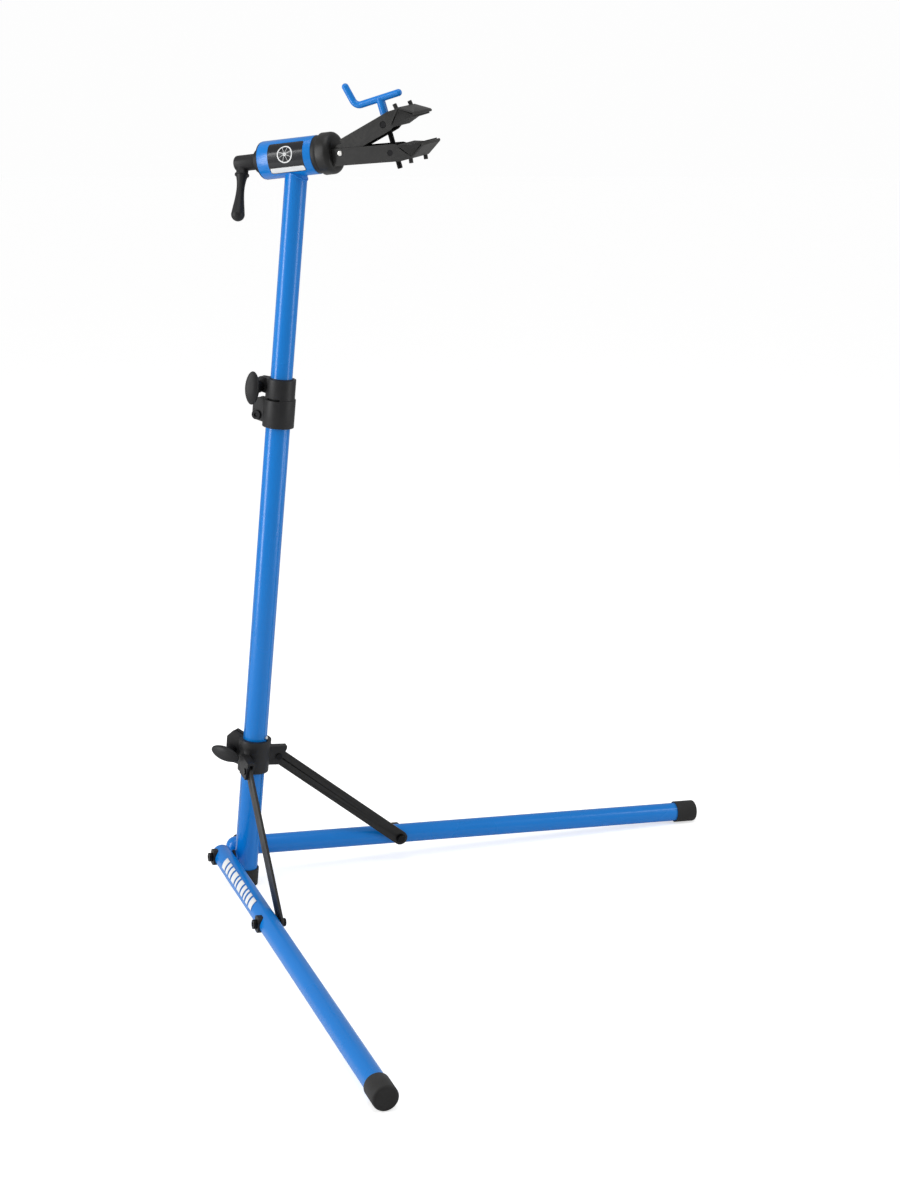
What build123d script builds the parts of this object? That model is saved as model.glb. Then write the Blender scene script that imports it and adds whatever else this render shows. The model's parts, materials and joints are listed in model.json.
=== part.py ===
"""Folding bicycle repair stand.

A leaning mast of two telescoping tubes carries a head tube with a turning clamp.
Two legs swing out from the foot of the mast and are held by braces from a sliding
collar. Millimetres, +Z up, origin at the middle of the mast's foot, on the floor,
+X towards the clamp and the open side of the legs, +Y to the left.
"""
from build123d import *
from math import asin, atan2, cos, degrees, hypot, radians, sin
import os

# ---------------------------------------------------------------- driving dimensions
# fits
running_fit = 0.05        # radial, a pin or screw turning in its hole
sliding_fit = 0.25        # radial, tube in tube and collar on tube
face_gap = 0.2            # between flat faces that turn on each other
loose_fit = 0.6           # radial, the trunnion that the upper jaw carries
far = 1000.0              # a cut that goes right through

# mast
mast_lean = 6.0           # degrees, top of the mast towards +X
lower_radius = 19.05
lower_wall = 1.8
lower_base = 6.0          # mast height of the lower tube's bottom end
lower_top = 812.0
upper_wall = 2.0
upper_bottom = 420.0
foot_wall = 2.6
foot_top = 31.0
foot_round = 1.3

# legs
leg_spread = 44.4         # degrees, each leg from the mast's forward direction
leg_radius = 16.0
leg_wall = 2.0
leg_pivot_height = 50.6   # along the mast
boss_reach = 1.25         # flat face of the boss beyond the mast's tube
boss_wall = 5.0
spacer_step = 1.0         # radial, spacer wider than the boss under it
leg_reach = 831.0         # pivot to the end of the cap
cap_length = 38.0
cap_wall = 2.4
cap_round = 4.0
dome_start = -9.0         # where the near end of the leg tube is closed by its dome
bush_wall = 1.5
spacer_thickness = 2.8

# screws
bolt_radius = 4.0
bolt_head_radius = 7.2
bolt_head_height = 6.0
socket_across = 6.0
socket_depth = 3.2
nut_across = 13.0
nut_thickness = 6.5
bolt_tip = 13.0           # inner end of the leg pivot bolts to the mast axis
washer_step = 4.0         # radial, washer wider than its bolt
washer_thickness = 0.8
screw_past_nut = 2.0
low_head_height = 3.0
low_socket_depth = 2.0
saddle_thickness = 2.6
saddle_length = 20.0
saddle_width = 25.0
saddle_corner = 6.6

# braces
brace_width = 24.0
brace_thickness = 4.0
brace_gap = 0.5           # brace to the washer on the leg
brace_on_leg = 272.3      # pivot to brace bolt, along the leg
brace_pin_reach = 26.95   # brace pin to the mast's tube, along the leg direction
brace_pin_height = 217.0  # along the mast
brace_pin_radius = 3.0
pin_head = 2.2            # radial and axial size of the pin heads
cap_flange = 1.2
cap_dome_radius = 6.5
cap_dome_end = 6.0
cap_dome_round = 1.6

# leg collar
collar_bottom = 202.0
collar_top = 256.0
collar_wall = 6.0
collar_band = 12.0        # height of the thicker band at the top
band_step = 1.2
lug_wall = 4.0
lug_roof = 4.0
lug_reach = 13.0          # top corner of the lug beyond the brace pin
lug_recede = 11.0         # bottom corner behind the top one
lug_lift = 1.0            # bottom of the lug above the bottom of the collar
lug_back = 14.0           # where the lug leaves the collar
slot_clearance = 2.0      # around the brace's end
pinch_slit = 3.0
pinch_ear = 7.0
collar_ear_lift = 2.0
collar_ear_end = 10.0     # ear beyond its screw
collar_ear_corner = 11.0
collar_ear_crest = 6.0    # top of the ear above the collar
ear_slope = 5.0           # lower edge rises this much out to the screw
pocket_depth = 2.0        # nut let into the ear
keyway_width = 7.6
keyway_depth = 3.6
knob_reach = 18.55        # knob screw to the mast's tube, backwards
collar_knob_height = 228.0
rivet_radius = 3.0
rivet_round = 1.0
rivet_height = 261.5

# height collar
height_bottom = 771.0
height_split = 815.0
height_top = 846.0
lower_band_wall = 5.6
upper_band_wall = 3.9
split_gap = 3.0
split_depth = 30.0        # how far the cross slit runs forward from the back
height_knob_level = 829.0
height_bolt_level = 785.0
height_ear = 6.5
height_ear_end = 8.0
height_ear_corner = 7.0
height_ear_inset = 1.0    # ears to the ends of the collar
height_bolt_reach = 15.65  # screws to the mast's tube, backwards
height_bush_wall = 1.2
bush_lip = 1.2            # bush above the collar
plug_rim = 6.0
plug_length = 25.0
plug_wall = 3.0

# knobs
paddle_length = 52.0
paddle_width = 24.0
paddle_thickness = 12.0
paddle_round = 4.5
knob_hub_radius = 10.0
paddle_out = 2.65         # inner face of the collar's paddle beyond the side of the mast
collar_knob_turn = -6.0   # degrees, long way of the paddle from level
height_knob_turn = 90.0

# head
head_height = 1182.0      # along the mast
head_rise = 12.3          # degrees, head axis above square to the mast
head_radius = 28.5
head_wall = 3.0
head_back = -55.0
head_front = 36.5
shaft_radius = 12.0
bush_length = 22.0
rear_rim = 2.4            # thickness of the rear bush's rim
front_rim = 8.0
rim_inset = 0.5
label_thickness = 0.4
label_back = -36.0
label_front = 24.0
label_gap = 4.4           # degrees, label's lower edge to the upper tube
label_high = 50.0         # degrees above the side of the head tube

# lock lever
washer_radius = 18.0
washer_length = 11.0
washer_round = 3.0
spigot_radius = 10.0      # thin end of the shaft that carries the washer and the lever
spigot_gap = 1.0          # end of the shaft to the bottom of the lever's bore
lever_hub_radius = 12.0
lever_hub_round = 4.0
lever_hub_length = 38.2
lever_along = 26.2        # lever's axis to the front of its hub
lever_hang = 23.6         # degrees, lever from straight down towards -Y
lever_length = 82.0
lever_ball = 10.3
lever_join = 80.0         # degrees from the ball's inner pole to the end of the neck
lever_neck = (9.2, 20.0)  # radius and distance from the head axis
lever_waist = (6.4, 50.0)
lever_shoulder = (8.5, 68.0)
lever_flange_radius = 11.0
lever_flange = 2.0

# clamp
clamp_roll = 5.0          # degrees about the head axis
disc_step = 2.5           # disc's radius over the head tube's
disc_length = 23.3
disc_round = 9.0
disc_neck = 1.8
shaft_socket = 6.0        # shaft let into the disc
jaw_pin_out = 13.5        # jaw pin to the front of the disc
jaw_pin_drop = -0.8
jaw_pin_radius = 4.0
jaw_pin_head = 1.6
jaw_pin_round = 1.2
jaw_open = 18.6           # degrees between the two arms at rest
jaw_sheet = 2.4
lower_half_width = 18.0
jaw_nest_gap = 0.4
arm_depth = 21.0          # pin to the outer face of the arm's web, at the front
arm_depth_back = 18.0
arm_straight = 2.0        # end of the straight web before the groove plate
arm_lip_end = 11.0
arm_lip_back = 7.5
arm_lip_front = 4.5
arm_nose = 5.0            # outer edge of the nose behind the valley
socket_clearance = 1.0    # above the arm's lip, in the disc
groove_start = 17.0       # rear edge of the groove plate past the trunnion
groove_rear_height = 0.4
groove_run = 21.0         # rear edge to valley
groove_depth = -15.7
groove_span = 41.5        # rear edge to tip
groove_tip_height = 0.8
void_run = 12.0           # rear edge to the front of the hollow under the plate
void_depth = -14.0
groove_width = 57.0
hem_radius = 2.1
pad_face = 4.0            # rubber face above the pin line
pad_dish = 2.5
pad_rear_inset = 2.0
pad_tip_inset = 2.4
pad_tip_rise = 0.6
pad_side_inset = 1.0
pad_skin = 0.3            # rubber to the groove plate
peg_lead = 3.0            # pegs behind the valley
peg_spacing = 50.0
peg_radius = 3.1
peg_length = 9.0          # past the groove plate
peg_root = 6.0            # inside the pad
trunnion_reach = 82.0
trunnion_angle = 5.3      # degrees, trunnions outside the line of each arm
trunnion_radius = 7.0
journal_radius = 4.5
journal_inset = 0.4       # end of the journal to the arm's outer face
slot_lead = 2.6           # the web's screw slot sits this far past the trunnion
slot_length = 24.0
slot_width = 14.6
arm_socket = 6.0          # lower arm let into the disc
pivot_clearance = 0.5     # rounded end of the upper arm to the disc
upper_web_start = 7.0

# screw and handle
rod_stub = 25.0           # rod below the lower trunnion
stem_radius = 6.3
stem_length = 30.0
handle_radius = 5.1
handle_front = 31.2       # stem to the middle of the rounded front end
handle_back = 41.5
handle_turn_up = 31.0
handle_turn_back = 8.0
handle_bend = 12.0

# ---------------------------------------------------------------- worked out
upper_radius = lower_radius - lower_wall - sliding_fit
boss_face = lower_radius + boss_reach
leg_offset = boss_face + spacer_thickness + face_gap + leg_radius
brace_offset = leg_offset - leg_radius - washer_thickness - brace_gap - brace_thickness / 2
brace_pin_out = lower_radius + brace_pin_reach
knob_back = lower_radius + knob_reach
height_bolt_back = lower_radius + height_bolt_reach
knob_hub_length = lower_radius + paddle_out - face_gap - pinch_slit / 2 - pinch_ear
rim_radius = head_radius - rim_inset
label_low = degrees(asin(upper_radius / head_radius)) + label_gap - 90
washer_face = head_back - rear_rim - face_gap
washer_back = washer_face - washer_length
hub_front = washer_back - face_gap
lever_at = hub_front - lever_along
disc_back = head_front + front_rim + face_gap
disc_front = disc_back + disc_length
disc_radius = head_radius + disc_step
jaw_pin_place = disc_front + jaw_pin_out
lower_start = -jaw_pin_out - arm_socket
upper_start = pivot_clearance - jaw_pin_out
groove_rear_x = trunnion_reach + groove_start
groove_valley_x = groove_rear_x + groove_run
groove_tip_x = groove_rear_x + groove_span
groove_rear = (groove_rear_x, groove_rear_height)
groove_valley = (groove_valley_x, groove_depth)
groove_tip = (groove_tip_x, groove_tip_height)
mirror_angle = jaw_open / 2
screw_span = 2 * trunnion_reach * sin(radians(mirror_angle + trunnion_angle))
trunnion_x = trunnion_reach * cos(radians(trunnion_angle))
trunnion_z = -trunnion_reach * sin(radians(trunnion_angle))
cap_radius = leg_radius + cap_wall
trunnion_slot = trunnion_x + slot_lead


# ---------------------------------------------------------------- frames
def shifted(frame, x=0.0, y=0.0, z=0.0):
    """The frame moved along its own axes."""
    return Plane(frame.from_local_coords((x, y, z)), x_dir=frame.x_dir, z_dir=frame.z_dir)


def facing_side(frame):
    """A plane to draw on in the frame's x and z; it faces the frame's -y."""
    return Plane(frame.origin, x_dir=frame.x_dir, z_dir=-frame.y_dir)


def facing_front(frame):
    """A plane to draw on in the frame's y and z; it faces the frame's +x."""
    return Plane(frame.origin, x_dir=frame.y_dir, z_dir=frame.x_dir)


def turned(frame, about, angle):
    """The frame turned about one of its own directions, in degrees."""
    axis = Axis((0, 0, 0), about)
    x_dir = frame.x_dir.rotate(axis, angle)
    z_dir = frame.z_dir.rotate(axis, angle)
    return Plane(frame.origin, x_dir=x_dir, z_dir=z_dir)


mast = turned(Plane.XY, Plane.XY.y_dir, mast_lean)
sides = {"right": -1, "left": 1}
radial = {name: turned(mast, mast.z_dir, sign * leg_spread) for name, sign in sides.items()}


def leg_rise():
    """The angle of a leg above square to the mast that lays its cap on the floor."""
    root = shifted(radial["left"], 0, leg_offset, leg_pivot_height).origin
    contact = leg_reach - cap_round
    up_share = cos(radians(mast_lean))
    out_share = sin(radians(mast_lean)) * cos(radians(leg_spread))
    drop = (cap_radius - root.Z) / contact
    return degrees(asin(drop / hypot(up_share, out_share)) + atan2(out_share, up_share))


rise = leg_rise()
leg = {}
for name, sign in sides.items():
    leg_root = shifted(radial[name], 0, sign * leg_offset, leg_pivot_height)
    leg[name] = turned(leg_root, leg_root.y_dir, -rise)

brace_bolt_out = brace_on_leg * cos(radians(rise))
brace_bolt_height = leg_pivot_height + brace_on_leg * sin(radians(rise))
brace_run = brace_bolt_out - brace_pin_out
brace_drop = brace_pin_height - brace_bolt_height
brace_length = hypot(brace_run, brace_drop)
brace_slope = degrees(atan2(brace_drop, brace_run))
brace = {}
for name, sign in sides.items():
    brace_root = shifted(radial[name], brace_pin_out, sign * brace_offset, brace_pin_height)
    brace[name] = turned(brace_root, brace_root.y_dir, brace_slope)

head_root = shifted(mast, z=head_height)
head = turned(head_root, head_root.y_dir, -head_rise)
clamp = turned(head, head.x_dir, clamp_roll)
lower_arm = shifted(clamp, jaw_pin_place, 0, jaw_pin_drop)
raised_arm = turned(lower_arm, lower_arm.y_dir, -jaw_open)
upper_arm = turned(raised_arm, raised_arm.x_dir, 180)
screw_root = shifted(lower_arm, trunnion_x, 0, trunnion_z)
screw = turned(screw_root, screw_root.y_dir, -mirror_angle)
lever = turned(shifted(head, lever_at), head.x_dir, 180 - lever_hang)


def across(frame, sign, x=0.0, z=0.0):
    """A plane in the frame's x and z that faces away from the mast, on the given side."""
    return Plane(frame.from_local_coords((x, 0, z)), x_dir=frame.x_dir, z_dir=frame.y_dir * sign)


# ---------------------------------------------------------------- shared shapes
def rod(plane, radius, start, end, mode=Mode.ADD):
    """A round bar square to the plane, from start to end along its normal."""
    with BuildSketch(plane.offset(start)) as profile:
        Circle(radius)
    extrude(profile.sketch, amount=end - start, mode=mode)


def tube(plane, outer, inner, start, end, mode=Mode.ADD):
    """A round tube square to the plane."""
    with BuildSketch(plane.offset(start)) as profile:
        Circle(outer)
        Circle(inner, mode=Mode.SUBTRACT)
    extrude(profile.sketch, amount=end - start, mode=mode)


def block(plane, low, high, start, end, mode=Mode.ADD):
    """A box between two corners drawn on the plane, from start to end along its normal."""
    low_x, low_y = low
    high_x, high_y = high
    with BuildSketch(plane.offset(start)) as profile:
        with Locations(((low_x + high_x) / 2, (low_y + high_y) / 2)):
            Rectangle(high_x - low_x, high_y - low_y)
    extrude(profile.sketch, amount=end - start, mode=mode)


def hexagon(plane, across_flats, start, end, mode=Mode.ADD):
    """A hexagon bar square to the plane, from start to end along its normal."""
    with BuildSketch(plane.offset(start)) as profile:
        RegularPolygon(across_flats / 2, 6, major_radius=False)
    extrude(profile.sketch, amount=end - start, mode=mode)


def socket_head(plane, start):
    """A round screw head that starts at start, with a hexagon socket in its outer face."""
    end = start + bolt_head_height
    rod(plane, bolt_head_radius, start, end)
    hexagon(plane, socket_across, end - socket_depth, end, Mode.SUBTRACT)


def nut(plane, start, hole):
    """A hexagon nut from start outwards."""
    hexagon(plane, nut_across, start, start + nut_thickness)
    rod(plane, hole, start, start + nut_thickness, Mode.SUBTRACT)


def outer_edges(plane):
    """The edges of the face that lies furthest along the plane's normal."""
    return faces().sort_by(Axis(plane.origin, plane.z_dir))[-1].edges()


def paddle_knob(plane, face, long_axis_turn):
    """An oval knob on a round hub; the hub starts at face, along the plane's normal."""
    paddle_face = face + knob_hub_length
    with BuildSketch(plane.offset(paddle_face)) as oval:
        Ellipse(paddle_length / 2, paddle_width / 2, rotation=long_axis_turn)
    extrude(oval.sketch, amount=paddle_thickness)
    fillet(outer_edges(plane), paddle_round)
    fillet(outer_edges(-plane), paddle_round)
    rod(plane, knob_hub_radius, face, paddle_face + paddle_thickness / 2)


def keep(piece, label):
    """Label the finished piece and write it to its own file."""
    piece.part.label = label
    export_step(piece.part, f"parts/{label}.step")


os.makedirs("parts", exist_ok=True)

# ---------------------------------------------------------------- mast
pivot_holes = [across(radial[name], sign, z=leg_pivot_height) for name, sign in sides.items()]
boss_radius = bolt_radius + boss_wall
rivet_plane = facing_front(shifted(mast, z=rivet_height))

with BuildPart() as lower_tube:
    tube(mast, lower_radius, lower_radius - lower_wall, lower_base, lower_top)
    for hole in pivot_holes:
        rod(hole, bolt_radius, 0, leg_offset, Mode.SUBTRACT)
    rod(rivet_plane, rivet_radius, 0, leg_offset, Mode.SUBTRACT)
keep(lower_tube, "lower_tube")

with BuildPart() as pivot_bosses:
    for hole in pivot_holes:
        rod(hole, boss_radius, 0, boss_face)
        rod(hole, bolt_radius, 0, boss_face, Mode.SUBTRACT)
    rod(mast, lower_radius, 0, lower_top, Mode.SUBTRACT)
keep(pivot_bosses, "pivot_bosses")

with BuildPart() as pivot_spacers:
    for hole in pivot_holes:
        tube(hole, boss_radius + spacer_step, bolt_radius, boss_face, boss_face + spacer_thickness)
keep(pivot_spacers, "pivot_spacers")

pivot_head_face = leg_offset + leg_radius + saddle_thickness + face_gap
with BuildPart() as leg_pivot_bolts:
    for hole in pivot_holes:
        rod(hole, bolt_radius, bolt_tip, pivot_head_face)
        socket_head(hole, pivot_head_face)
keep(leg_pivot_bolts, "leg_pivot_bolts")

with BuildPart() as mast_foot:
    rod(mast, lower_radius + foot_wall, -lower_base, foot_top)
    fillet(outer_edges(mast), foot_round)
    rod(mast, lower_radius, lower_base, foot_top, Mode.SUBTRACT)
    split(bisect_by=Plane.XY, keep=Keep.TOP)
keep(mast_foot, "mast_foot")

with BuildPart() as guide_rivet:
    rivet_out = lower_radius + keyway_depth - sliding_fit * 2
    rod(rivet_plane, rivet_radius, lower_radius - lower_wall, rivet_out)
    fillet(outer_edges(rivet_plane), rivet_round)
keep(guide_rivet, "guide_rivet")

# ---------------------------------------------------------------- legs
bush_radius = bolt_radius + running_fit + bush_wall
cap_start = leg_reach - cap_length
for name, sign in sides.items():
    frame = leg[name]
    along = facing_front(frame)
    pivot_across = across(frame, sign)
    bolt_across = across(frame, sign, x=brace_on_leg)

    with BuildPart() as leg_tube:
        tube(along, leg_radius, leg_radius - leg_wall, dome_start, leg_reach - cap_wall)
        rod(pivot_across, bush_radius, -leg_radius, leg_radius, Mode.SUBTRACT)
        rod(bolt_across, bolt_radius, -leg_radius, leg_radius, Mode.SUBTRACT)
    keep(leg_tube, f"leg_tube_{name}")

    with BuildPart() as leg_dome:
        near_end = frame.from_local_coords((dome_start, 0, 0))
        with BuildSketch(Plane(near_end, x_dir=-frame.x_dir, z_dir=frame.y_dir)):
            with BuildLine():
                bulge = RadiusArc((0, leg_radius), (leg_radius, 0), leg_radius)
                Line(bulge @ 1, (0, 0))
                Line((0, 0), bulge @ 0)
            make_face()
        revolve(axis=Axis(frame.origin, frame.x_dir))
    keep(leg_dome, f"leg_dome_{name}")

    with BuildPart() as leg_cap:
        rod(along, cap_radius, cap_start, leg_reach)
        fillet(outer_edges(along), cap_round)
        rod(along, leg_radius, cap_start, leg_reach - cap_wall, Mode.SUBTRACT)
    keep(leg_cap, f"leg_cap_{name}")

    with BuildPart() as pivot_bush:
        tube(pivot_across, bush_radius, bolt_radius + running_fit, -leg_radius, leg_radius)
    keep(pivot_bush, f"pivot_bush_{name}")

    for title, spot, hole in (("pivot", pivot_across, bush_radius), ("brace", bolt_across, bolt_radius)):
        with BuildPart() as saddle:
            with BuildSketch(spot):
                RectangleRounded(saddle_length, saddle_width, saddle_corner)
            extrude(amount=leg_radius + saddle_thickness)
            rod(along, leg_radius, -far, far, Mode.SUBTRACT)
            rod(spot, hole, 0, leg_offset, Mode.SUBTRACT)
        keep(saddle, f"{title}_saddle_{name}")

    with BuildPart() as brace_bolt:
        head_face = leg_radius + saddle_thickness
        rod(bolt_across, bolt_radius, -leg_radius, head_face)
        rod(bolt_across, bolt_radius + washer_step, -leg_radius - washer_thickness, -leg_radius)
        socket_head(bolt_across, head_face)
    keep(brace_bolt, f"brace_bolt_{name}")

# ---------------------------------------------------------------- braces
for name, sign in sides.items():
    frame = brace[name]
    side_view = facing_side(frame)
    half_thickness = brace_thickness / 2
    with BuildPart() as brace_bar:
        with BuildSketch(side_view):
            with Locations((brace_length / 2, 0)):
                SlotCenterToCenter(brace_length, brace_width)
            Circle(brace_pin_radius + running_fit, mode=Mode.SUBTRACT)
            with Locations((brace_length, 0)):
                Circle(bolt_radius, mode=Mode.SUBTRACT)
        extrude(amount=half_thickness, both=True)
    keep(brace_bar, f"brace_{name}")

    with BuildPart() as brace_cap:
        inner_face = Plane(
            frame.from_local_coords((brace_length, -sign * half_thickness, 0)),
            x_dir=frame.x_dir,
            z_dir=frame.y_dir * -sign,
        )
        rod(inner_face, bolt_radius, -brace_thickness, 0)
        rod(inner_face, bolt_radius + washer_step, 0, cap_flange)
        rod(inner_face, cap_dome_radius, cap_flange, cap_dome_end)
        fillet(outer_edges(inner_face), cap_dome_round)
    keep(brace_cap, f"brace_cap_{name}")

# ---------------------------------------------------------------- leg collar
collar_bore = lower_radius + sliding_fit
collar_radius = lower_radius + collar_wall
ear_inner = pinch_slit / 2
ear_outer = ear_inner + pinch_ear
knob_on_collar = shifted(mast, -knob_back, 0, collar_knob_height)
collar_knob_plane = facing_side(knob_on_collar)
half_slot = brace_thickness / 2 + face_gap * 2


def ear_pair(low, high, back, end, corner, crest, half_width):
    """Both pinch ears as one block behind the mast; their tops rise by crest."""
    with BuildSketch(facing_side(mast)) as outline:
        with BuildLine():
            Polyline(
                (0, low),
                (-back, low + ear_slope),
                (-back - end, low + ear_slope + corner),
                (-back - end, high + crest - corner),
                (-back, high + crest),
                (-lower_radius, high),
                (0, high),
                close=True,
            )
        make_face()
    extrude(outline.sketch, amount=half_width, both=True)


lug_low = collar_bottom + lug_lift
slot_top = brace_pin_height + brace_width / 2 + slot_clearance
slot_start = brace_pin_out - brace_width / 2 - slot_clearance
lug_end = brace_pin_out + lug_reach
lug_inner = brace_offset - half_slot - lug_wall
lug_outer = brace_offset + half_slot + lug_wall
nut_pocket = ear_outer - pocket_depth
with BuildPart() as leg_collar:
    rod(mast, collar_radius, collar_bottom, collar_top - collar_band)
    rod(mast, collar_radius + band_step, collar_top - collar_band, collar_top)
    ear_pair(
        collar_bottom + collar_ear_lift,
        collar_top,
        knob_back,
        collar_ear_end,
        collar_ear_corner,
        collar_ear_crest,
        ear_outer,
    )
    for name, sign in sides.items():
        lug_plane = facing_side(radial[name])
        with BuildSketch(lug_plane.offset(-sign * brace_offset)):
            with BuildLine():
                Polyline(
                    (lug_back, lug_low),
                    (lug_end - lug_recede, lug_low),
                    (lug_end, slot_top),
                    (lug_end, slot_top + lug_roof),
                    (lug_back, slot_top + lug_roof),
                    close=True,
                )
            make_face()
        extrude(amount=half_slot + lug_wall, both=True)
        slot_low = -sign * brace_offset - half_slot
        slot_high = -sign * brace_offset + half_slot
        block(lug_plane, (slot_start, 0), (lug_end, slot_top), slot_low, slot_high, Mode.SUBTRACT)
        pin_plane = across(radial[name], sign, x=brace_pin_out, z=brace_pin_height)
        rod(pin_plane, brace_pin_radius, lug_inner, lug_outer, Mode.SUBTRACT)
    rod(mast, collar_bore, 0, lower_top, Mode.SUBTRACT)
    keyway_corner = (lower_radius + keyway_depth, keyway_width / 2)
    block(mast, (0, -keyway_width / 2), keyway_corner, collar_bottom, collar_top, Mode.SUBTRACT)
    block(mast, (-far, -ear_inner), (0, ear_inner), 0, lower_top, Mode.SUBTRACT)
    rod(collar_knob_plane, bolt_radius + running_fit, -ear_outer, ear_outer, Mode.SUBTRACT)
    hexagon(collar_knob_plane, nut_across, -ear_outer, -nut_pocket, Mode.SUBTRACT)
keep(leg_collar, "leg_collar")

with BuildPart() as collar_nut:
    nut(collar_knob_plane, -nut_pocket - nut_thickness, bolt_radius + running_fit)
keep(collar_nut, "collar_nut")

with BuildPart() as brace_pins:
    for name, sign in sides.items():
        pin_plane = across(radial[name], sign, x=brace_pin_out, z=brace_pin_height)
        rod(pin_plane, brace_pin_radius, lug_inner, lug_outer)
        for start, end in ((lug_inner - pin_head, lug_inner), (lug_outer, lug_outer + pin_head)):
            rod(pin_plane, brace_pin_radius + pin_head, start, end)
keep(brace_pins, "brace_pins")


def knob_set(plane, ear_face, nut_face, turn, title):
    """A paddle knob with its steel screw, outside an ear whose face is at ear_face."""
    with BuildPart() as stud:
        rod(plane, bolt_radius, -nut_face - nut_thickness - screw_past_nut, ear_face + knob_hub_length)
    keep(stud, f"{title}_screw")
    with BuildPart() as knob:
        paddle_knob(plane, ear_face + face_gap, turn)
        rod(plane, bolt_radius, 0, ear_face + knob_hub_length, Mode.SUBTRACT)
    keep(knob, f"{title}_knob")


knob_set(collar_knob_plane, ear_outer, nut_pocket, collar_knob_turn, "collar")

# ---------------------------------------------------------------- height collar
height_ear_outer = ear_inner + height_ear
height_knob_plane = facing_side(shifted(mast, -height_bolt_back, 0, height_knob_level))
height_bolt_plane = facing_side(shifted(mast, -height_bolt_back, 0, height_bolt_level))
height_bush_radius = upper_radius + sliding_fit + height_bush_wall
split_low = height_split - split_gap / 2
split_high = height_split + split_gap / 2
with BuildPart() as height_collar:
    rod(mast, lower_radius + lower_band_wall, height_bottom, height_split)
    rod(mast, lower_radius + upper_band_wall, height_split, height_top)
    for low, high in ((height_bottom, split_low), (split_high, height_top)):
        ear_pair(
            low + height_ear_inset,
            high - height_ear_inset,
            height_bolt_back,
            height_ear_end,
            height_ear_corner,
            0,
            height_ear_outer,
        )
    rod(mast, lower_radius, 0, height_split, Mode.SUBTRACT)
    rod(mast, height_bush_radius, split_low, head_height, Mode.SUBTRACT)
    block(mast, (-far, -ear_inner), (0, ear_inner), height_bottom, height_top, Mode.SUBTRACT)
    block(mast, (-far, -far), (split_depth - lower_radius, far), split_low, split_high, Mode.SUBTRACT)
    for plane in (height_knob_plane, height_bolt_plane):
        rod(plane, bolt_radius + running_fit, -height_ear_outer, height_ear_outer, Mode.SUBTRACT)
keep(height_collar, "height_collar")

with BuildPart() as tube_bush:
    tube(mast, height_bush_radius, upper_radius + running_fit, lower_top, height_top + bush_lip)
    block(mast, (-far, -ear_inner), (0, ear_inner), lower_top, head_height, Mode.SUBTRACT)
keep(tube_bush, "tube_bush")

low_head_end = height_ear_outer + low_head_height
with BuildPart() as height_clamp_screw:
    rod(height_bolt_plane, bolt_radius, -height_ear_outer - nut_thickness - screw_past_nut, height_ear_outer)
    rod(height_bolt_plane, bolt_head_radius, height_ear_outer, low_head_end)
    hexagon(height_bolt_plane, socket_across, low_head_end - low_socket_depth, low_head_end, Mode.SUBTRACT)
keep(height_clamp_screw, "height_clamp_screw")

with BuildPart() as height_nuts:
    for plane in (height_knob_plane, height_bolt_plane):
        nut(plane, -height_ear_outer - nut_thickness, bolt_radius + running_fit)
keep(height_nuts, "height_nuts")

knob_set(height_knob_plane, height_ear_outer, height_ear_outer, height_knob_turn, "height")

# ---------------------------------------------------------------- upper mast and head
head_axis = facing_front(head)
head_inner = head_radius - head_wall
with BuildPart() as upper_tube:
    tube(mast, upper_radius, upper_radius - upper_wall, upper_bottom, head_height)
    rod(head_axis, head_radius, -far, far, Mode.SUBTRACT)
keep(upper_tube, "upper_tube")

with BuildPart() as guide_plug:
    plug_radius = upper_radius - upper_wall - running_fit
    rim_top = upper_bottom - face_gap
    rod(mast, upper_radius, rim_top - plug_rim, rim_top)
    rod(mast, plug_radius, rim_top, upper_bottom + plug_length)
    rod(mast, plug_radius - plug_wall, upper_bottom, upper_bottom + plug_length, Mode.SUBTRACT)
keep(guide_plug, "guide_plug")

with BuildPart() as head_tube:
    tube(head_axis, head_radius, head_inner, head_back, head_front)
keep(head_tube, "head_tube")

shaft_bore = shaft_radius + running_fit
for title, outward, end, rim in (("rear", -1, head_back, rear_rim), ("front", 1, head_front, front_rim)):
    with BuildPart() as head_bush:
        facing_out = Plane(head.from_local_coords((end, 0, 0)), x_dir=head.y_dir, z_dir=head.x_dir * outward)
        rod(facing_out, head_inner, -bush_length, 0)
        rod(facing_out, rim_radius, 0, rim)
        rod(facing_out, shaft_bore, -bush_length, rim, Mode.SUBTRACT)
    keep(head_bush, f"head_bush_{title}")

with BuildPart() as label_panel:
    with BuildSketch(head_axis.offset(label_back)):
        with BuildLine():
            under = CenterArc((0, 0), head_radius, 180 - label_high, label_high - label_low)
            over = CenterArc((0, 0), head_radius + label_thickness, 180 - label_high, label_high - label_low)
            Line(under @ 0, over @ 0)
            Line(under @ 1, over @ 1)
        make_face()
    extrude(amount=label_front - label_back)
keep(label_panel, "label_panel")

# ---------------------------------------------------------------- lock lever
lever_hub_end = hub_front - lever_hub_length
bore_end = lever_hub_end + lever_hub_radius
with BuildPart() as lever_washer:
    tube(head_axis, washer_radius, spigot_radius, washer_back, washer_face)
    fillet(outer_edges(-head_axis).sort_by(SortBy.LENGTH)[-1], washer_round)
keep(lever_washer, "lever_washer")

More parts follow.
